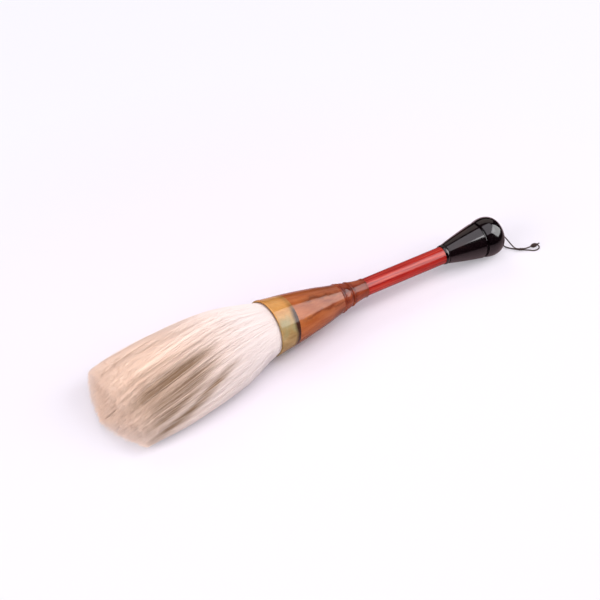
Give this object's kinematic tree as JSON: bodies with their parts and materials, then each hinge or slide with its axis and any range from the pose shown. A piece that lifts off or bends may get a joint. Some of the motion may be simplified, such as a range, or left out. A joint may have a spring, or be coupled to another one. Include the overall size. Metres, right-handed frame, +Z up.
{
  "type": "calligraphy brush",
  "caption": "Large calligraphy brush: goat-hair tuft in a flared horn cup, red lacquered handle, black horn cap with a hanging loop, lying flat.",
  "frame": {"origin": "bottom centre of the brush without its cord, on the surface that it lies on", "axes": "+X along the brush from the tuft to the cap, +Z up from the surface, +Y across the brush"},
  "size_m": [0.3582, 0.0826, 0.0459],
  "materials": {
    "core_hair": "matte",
    "lining_hair": "matte",
    "cover_hair": "silky",
    "binding_thread": "matte",
    "rosin": "glossy",
    "pale_horn": "polished",
    "amber_horn": "polished",
    "neck_horn": "polished",
    "red_lacquer": "lacquered",
    "black_horn": "polished",
    "peg_wood": "matte",
    "cord": "matte"
  },
  "bodies": {
    "brush": {"core_hair": "core_hair", "lining_hair": "lining_hair", "cover_hair": "cover_hair", "root_binding": "binding_thread", "root_rosin": "rosin", "mouth_band": "pale_horn", "horn_cup": "amber_horn", "front_neck_ring": "neck_horn", "neck_bead": "neck_horn", "rear_neck_ring": "neck_horn", "neck_collar": "neck_horn", "handle": "red_lacquer", "cap_neck_ring": "black_horn", "cap_cone": "black_horn", "cap_crown": "black_horn", "cord_peg": "peg_wood"},
    "hanging_loop": {"cord_upper_leg": "cord", "cord_lower_leg": "cord", "cord_eye": "cord", "cord_knot": "cord", "cord_end_knot": "cord"}
  },
  "joints": [
    {"name": "loop_swing", "type": "hinge", "parent": "brush", "child": "hanging_loop", "pos_m": [0.16511, 0, 0.0137], "axis": [0, -1, 0], "range_deg": [0, 80]}
  ]
}
